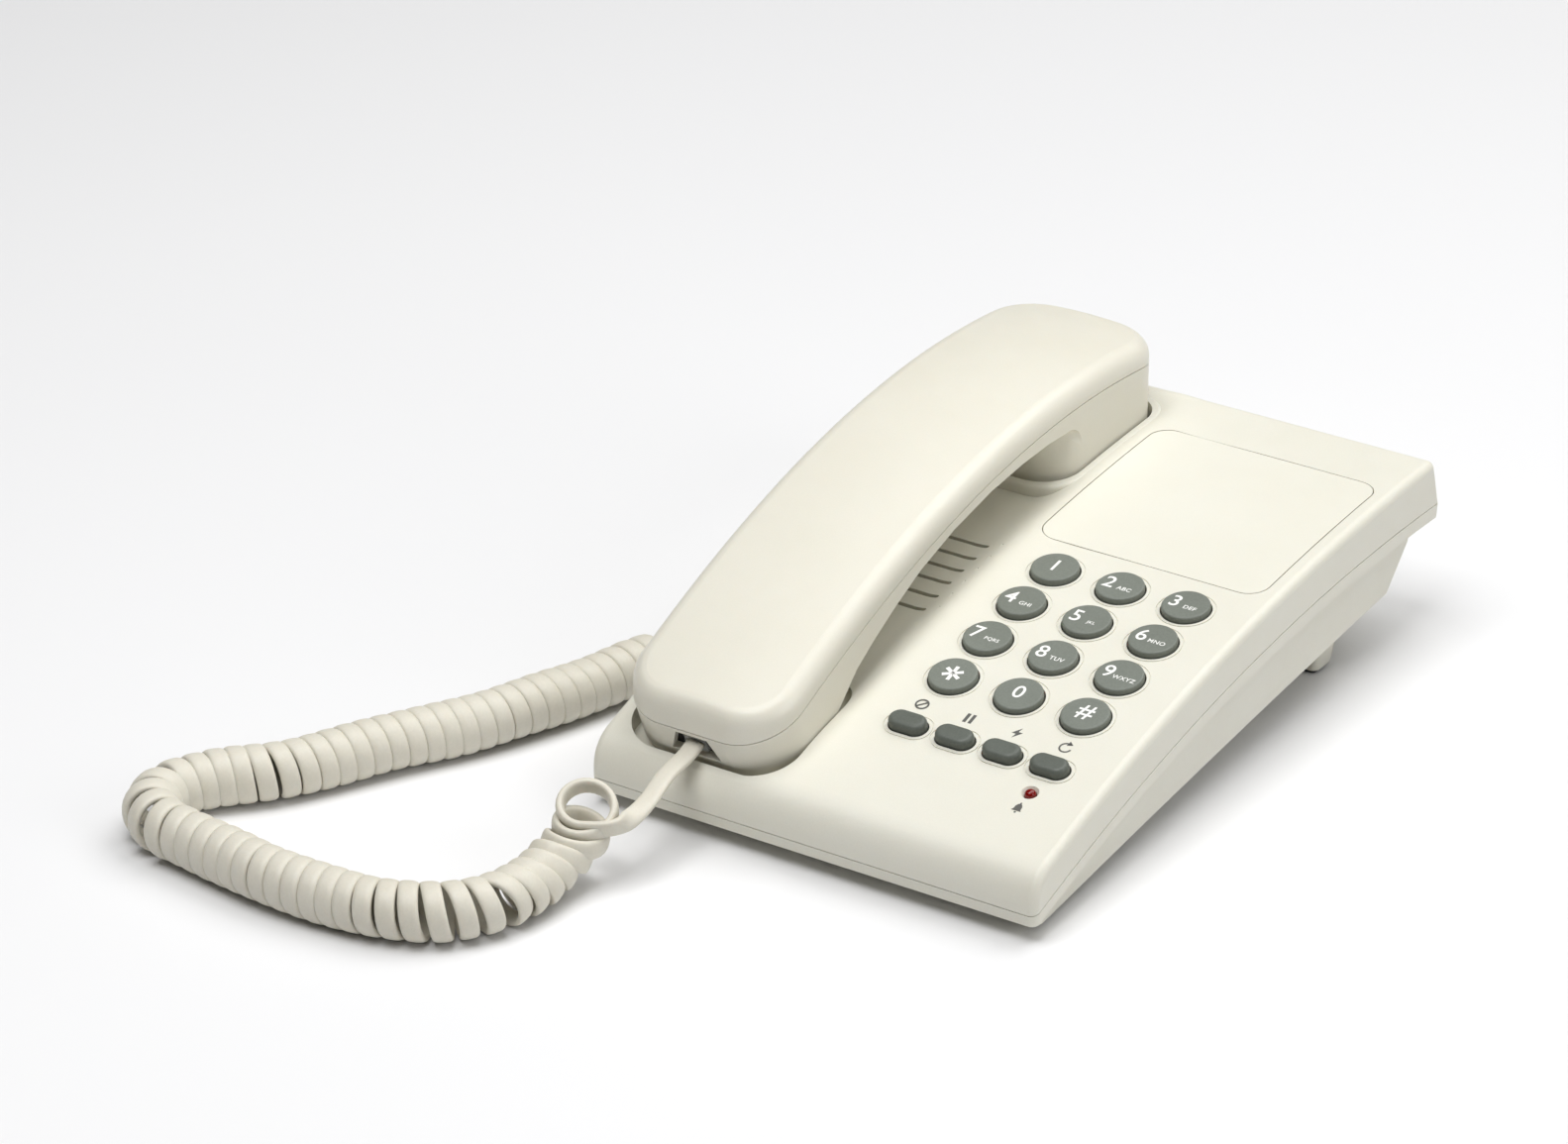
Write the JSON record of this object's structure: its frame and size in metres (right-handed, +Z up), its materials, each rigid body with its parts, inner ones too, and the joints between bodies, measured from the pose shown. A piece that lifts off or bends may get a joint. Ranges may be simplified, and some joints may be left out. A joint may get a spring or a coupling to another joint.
{
  "type": "corded telephone",
  "caption": "Corded desk telephone with a handset along the left side, a round keypad, function keys and a coiled handset cord.",
  "frame": {"origin": "on the desk, under the middle of the base's length and width", "axes": "+Z up from the desk, +Y from the front edge to the rear edge, +X to the right with the handset on the left"},
  "size_m": [0.2222, 0.2943, 0.0715],
  "materials": {
    "ivory_housing": "satin",
    "grey_panel": "fine texture",
    "key_grey": "satin",
    "cord_ivory": "satin",
    "plug_clear": "translucent",
    "black_plastic": "satin",
    "lamp_red": "translucent",
    "steel_screw": "zinc plated",
    "steel_plate": "plain",
    "spring_steel": "bright",
    "rubber_grey": "matte",
    "rubber_foot": "matte",
    "board_green": "laminate",
    "copper_wire": "insulated",
    "capacitor": "sleeve"
  },
  "bodies": {
    "base": {"upper_cover": "ivory_housing", "lower_housing": "ivory_housing", "index_panel": "grey_panel", "key_membrane": "rubber_grey", "main_board": "board_green", "dialler_chip": "black_plastic", "board_capacitors": "capacitor", "board_screws": "steel_screw", "ring_lamp": "lamp_red", "ring_sounder": "black_plastic", "hook_switch": "black_plastic", "hook_spring": "spring_steel", "ballast_plate": "steel_plate", "cord_jack_base": "black_plastic", "line_jack": "black_plastic", "volume_switch": "black_plastic", "base_screws": "steel_screw", "front_feet": "rubber_foot", "rear_feet": "rubber_foot", "base_wires": "copper_wire", "coil_cord": "cord_ivory", "cord_plug_base": "plug_clear"},
    "handset": {"handset_upper": "ivory_housing", "handset_lower": "ivory_housing", "handset_screws": "steel_screw", "receiver_gasket": "rubber_grey", "receiver_capsule": "black_plastic", "microphone_boot": "rubber_grey", "microphone": "steel_plate", "handset_jack": "black_plastic", "cord_plug_handset": "plug_clear", "handset_weight": "steel_plate", "handset_wires": "copper_wire"},
    "hook": {"hook_plunger": "ivory_housing"},
    "ringer_volume": {"volume_knob": "key_grey"},
    "key_1_cap": {"key_1": "key_grey"},
    "key_2_cap": {"key_2": "key_grey"},
    "key_3_cap": {"key_3": "key_grey"},
    "key_4_cap": {"key_4": "key_grey"},
    "key_5_cap": {"key_5": "key_grey"},
    "key_6_cap": {"key_6": "key_grey"},
    "key_7_cap": {"key_7": "key_grey"},
    "key_8_cap": {"key_8": "key_grey"},
    "key_9_cap": {"key_9": "key_grey"},
    "key_star_cap": {"key_star": "key_grey"},
    "key_0_cap": {"key_0": "key_grey"},
    "key_hash_cap": {"key_hash": "key_grey"},
    "key_mute_cap": {"key_mute": "key_grey"},
    "key_pause_cap": {"key_pause": "key_grey"},
    "key_flash_cap": {"key_flash": "key_grey"},
    "key_redial_cap": {"key_redial": "key_grey"}
  },
  "joints": [
    {"name": "handset_lift", "type": "slide", "parent": "base", "child": "handset", "axis": [0, 0, 1], "range_m": [0, 0.08]},
    {"name": "hook_rise", "type": "slide", "parent": "base", "child": "hook", "axis": [0, 0, 1], "range_m": [0, 0.004], "deforming": ["hook_spring"]},
    {"name": "press_1", "type": "slide", "parent": "base", "child": "key_1_cap", "axis": [0, 0.1351, -0.9908], "range_m": [0, 0.0012], "deforming": ["key_membrane"]},
    {"name": "press_2", "type": "slide", "parent": "base", "child": "key_2_cap", "axis": [0, 0.1351, -0.9908], "range_m": [0, 0.0012]},
    {"name": "press_3", "type": "slide", "parent": "base", "child": "key_3_cap", "axis": [0, 0.1351, -0.9908], "range_m": [0, 0.0012]},
    {"name": "press_4", "type": "slide", "parent": "base", "child": "key_4_cap", "axis": [0, 0.1624, -0.9867], "range_m": [0, 0.0012]},
    {"name": "press_5", "type": "slide", "parent": "base", "child": "key_5_cap", "axis": [0, 0.1624, -0.9867], "range_m": [0, 0.0012]},
    {"name": "press_6", "type": "slide", "parent": "base", "child": "key_6_cap", "axis": [0, 0.1624, -0.9867], "range_m": [0, 0.0012]},
    {"name": "press_7", "type": "slide", "parent": "base", "child": "key_7_cap", "axis": [0, 0.1909, -0.9816], "range_m": [0, 0.0012]},
    {"name": "press_8", "type": "slide", "parent": "base", "child": "key_8_cap", "axis": [0, 0.1909, -0.9816], "range_m": [0, 0.0012]},
    {"name": "press_9", "type": "slide", "parent": "base", "child": "key_9_cap", "axis": [0, 0.1909, -0.9816], "range_m": [0, 0.0012]},
    {"name": "press_star", "type": "slide", "parent": "base", "child": "key_star_cap", "axis": [0, 0.2205, -0.9754], "range_m": [0, 0.0012]},
    {"name": "press_0", "type": "slide", "parent": "base", "child": "key_0_cap", "axis": [0, 0.2205, -0.9754], "range_m": [0, 0.0012]},
    {"name": "press_hash", "type": "slide", "parent": "base", "child": "key_hash_cap", "axis": [0, 0.2205, -0.9754], "range_m": [0, 0.0012]},
    {"name": "press_mute", "type": "slide", "parent": "base", "child": "key_mute_cap", "axis": [0, 0.2571, -0.9664], "range_m": [0, 0.0012]},
    {"name": "press_pause", "type": "slide", "parent": "base", "child": "key_pause_cap", "axis": [0, 0.2571, -0.9664], "range_m": [0, 0.0012]},
    {"name": "press_flash", "type": "slide", "parent": "base", "child": "key_flash_cap", "axis": [0, 0.2571, -0.9664], "range_m": [0, 0.0012]},
    {"name": "press_redial", "type": "slide", "parent": "base", "child": "key_redial_cap", "axis": [0, 0.2571, -0.9664], "range_m": [0, 0.0012]},
    {"name": "ringer_volume_slide", "type": "slide", "parent": "base", "child": "ringer_volume", "axis": [1, 0, 0], "range_m": [0, 0.005]}
  ],
  "couplings": [
    {"joint": "hook_rise", "follows": "handset_lift", "ratio": 0.05}
  ]
}
